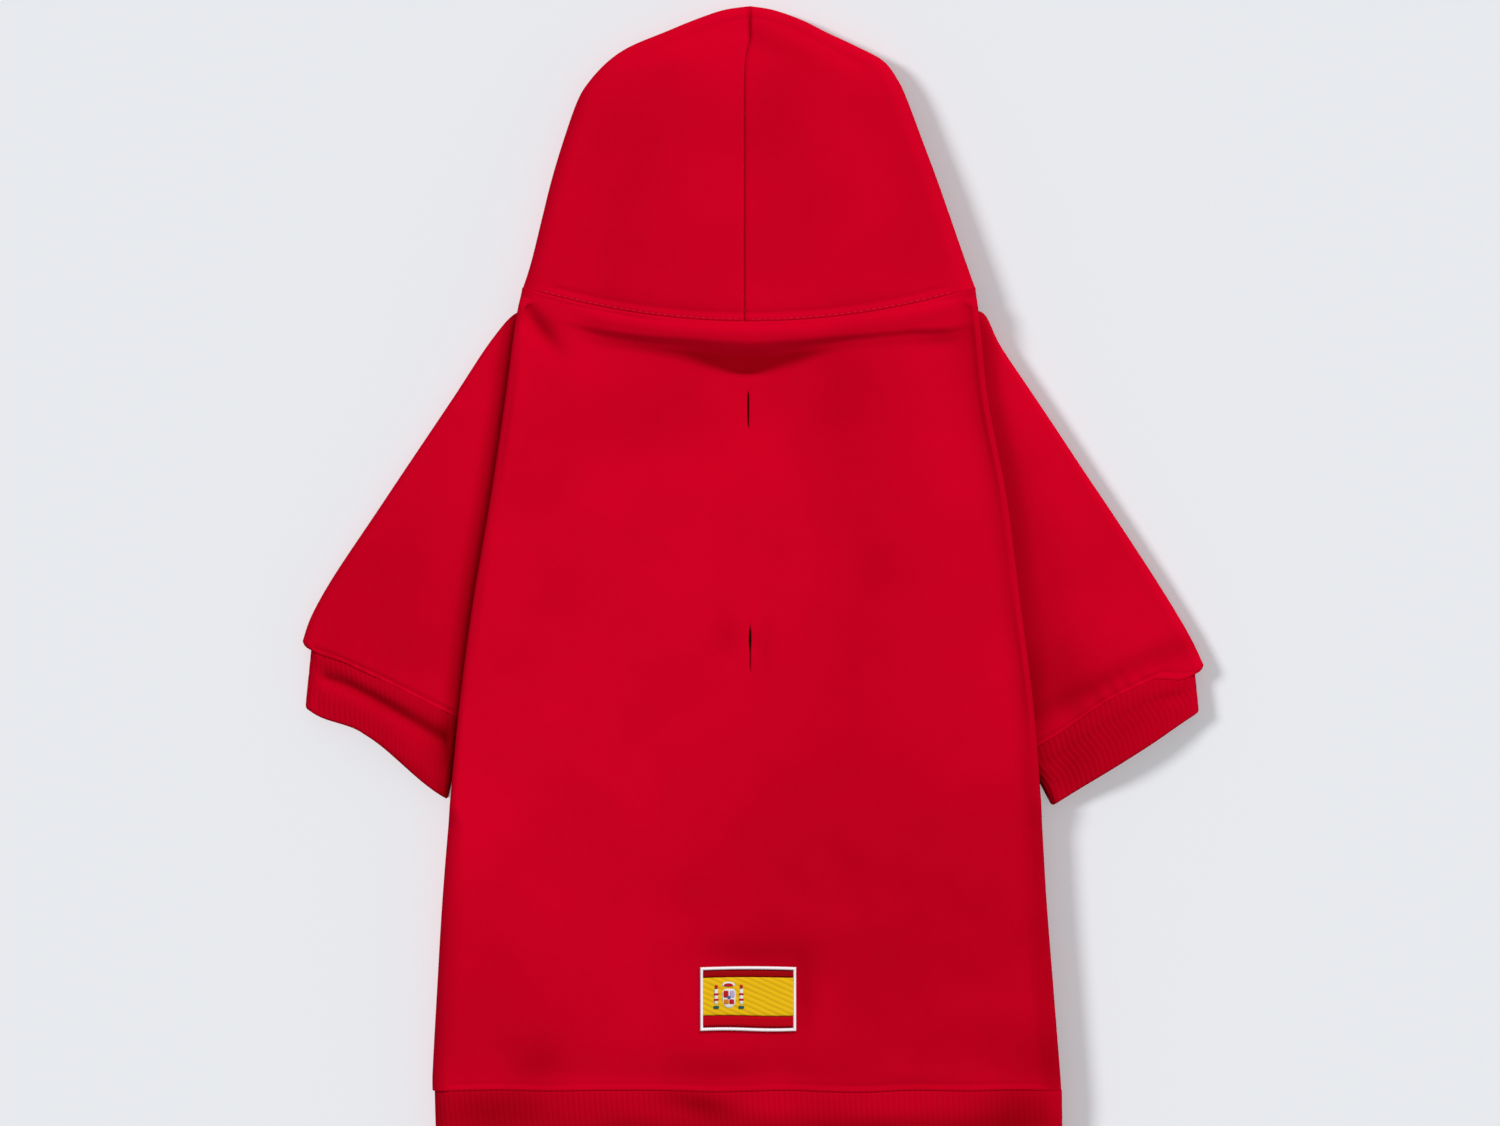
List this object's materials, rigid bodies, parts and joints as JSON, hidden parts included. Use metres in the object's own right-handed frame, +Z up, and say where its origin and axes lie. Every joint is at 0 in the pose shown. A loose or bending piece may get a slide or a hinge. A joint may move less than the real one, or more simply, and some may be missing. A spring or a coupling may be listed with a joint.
{
  "type": "dog hoodie",
  "caption": "Short-sleeved dog hoodie laid flat, with hood, leash slits, ribbed cuffs and hem, and a small embroidered patch.",
  "frame": {"origin": "on the floor under the middle of the laid garment's outline", "axes": "+Z up out of the back panel, +Y along the body towards the hood's peak, +X towards the right sleeve"},
  "size_m": [0.4513, 0.5828, 0.0274],
  "materials": {
    "jersey": "matte brushed cotton jersey",
    "rib_knit": "matte rib knit",
    "patch_border": "satin embroidery thread",
    "patch_dark_red": "satin embroidery thread",
    "patch_yellow": "satin embroidery thread",
    "patch_red": "satin embroidery thread",
    "patch_crest": "satin embroidery thread"
  },
  "bodies": {
    "root": {"back_panel": "jersey", "belly_panel": "jersey", "hood_left": "jersey", "hood_right": "jersey", "sleeve_left": "jersey", "sleeve_right": "jersey", "cuff_left": "rib_knit", "cuff_right": "rib_knit", "hem_band": "rib_knit", "patch_border": "patch_border", "patch_stripe_top": "patch_dark_red", "patch_stripe_middle": "patch_yellow", "patch_stripe_bottom": "patch_red", "patch_crest": "patch_crest"}
  },
  "joints": []
}
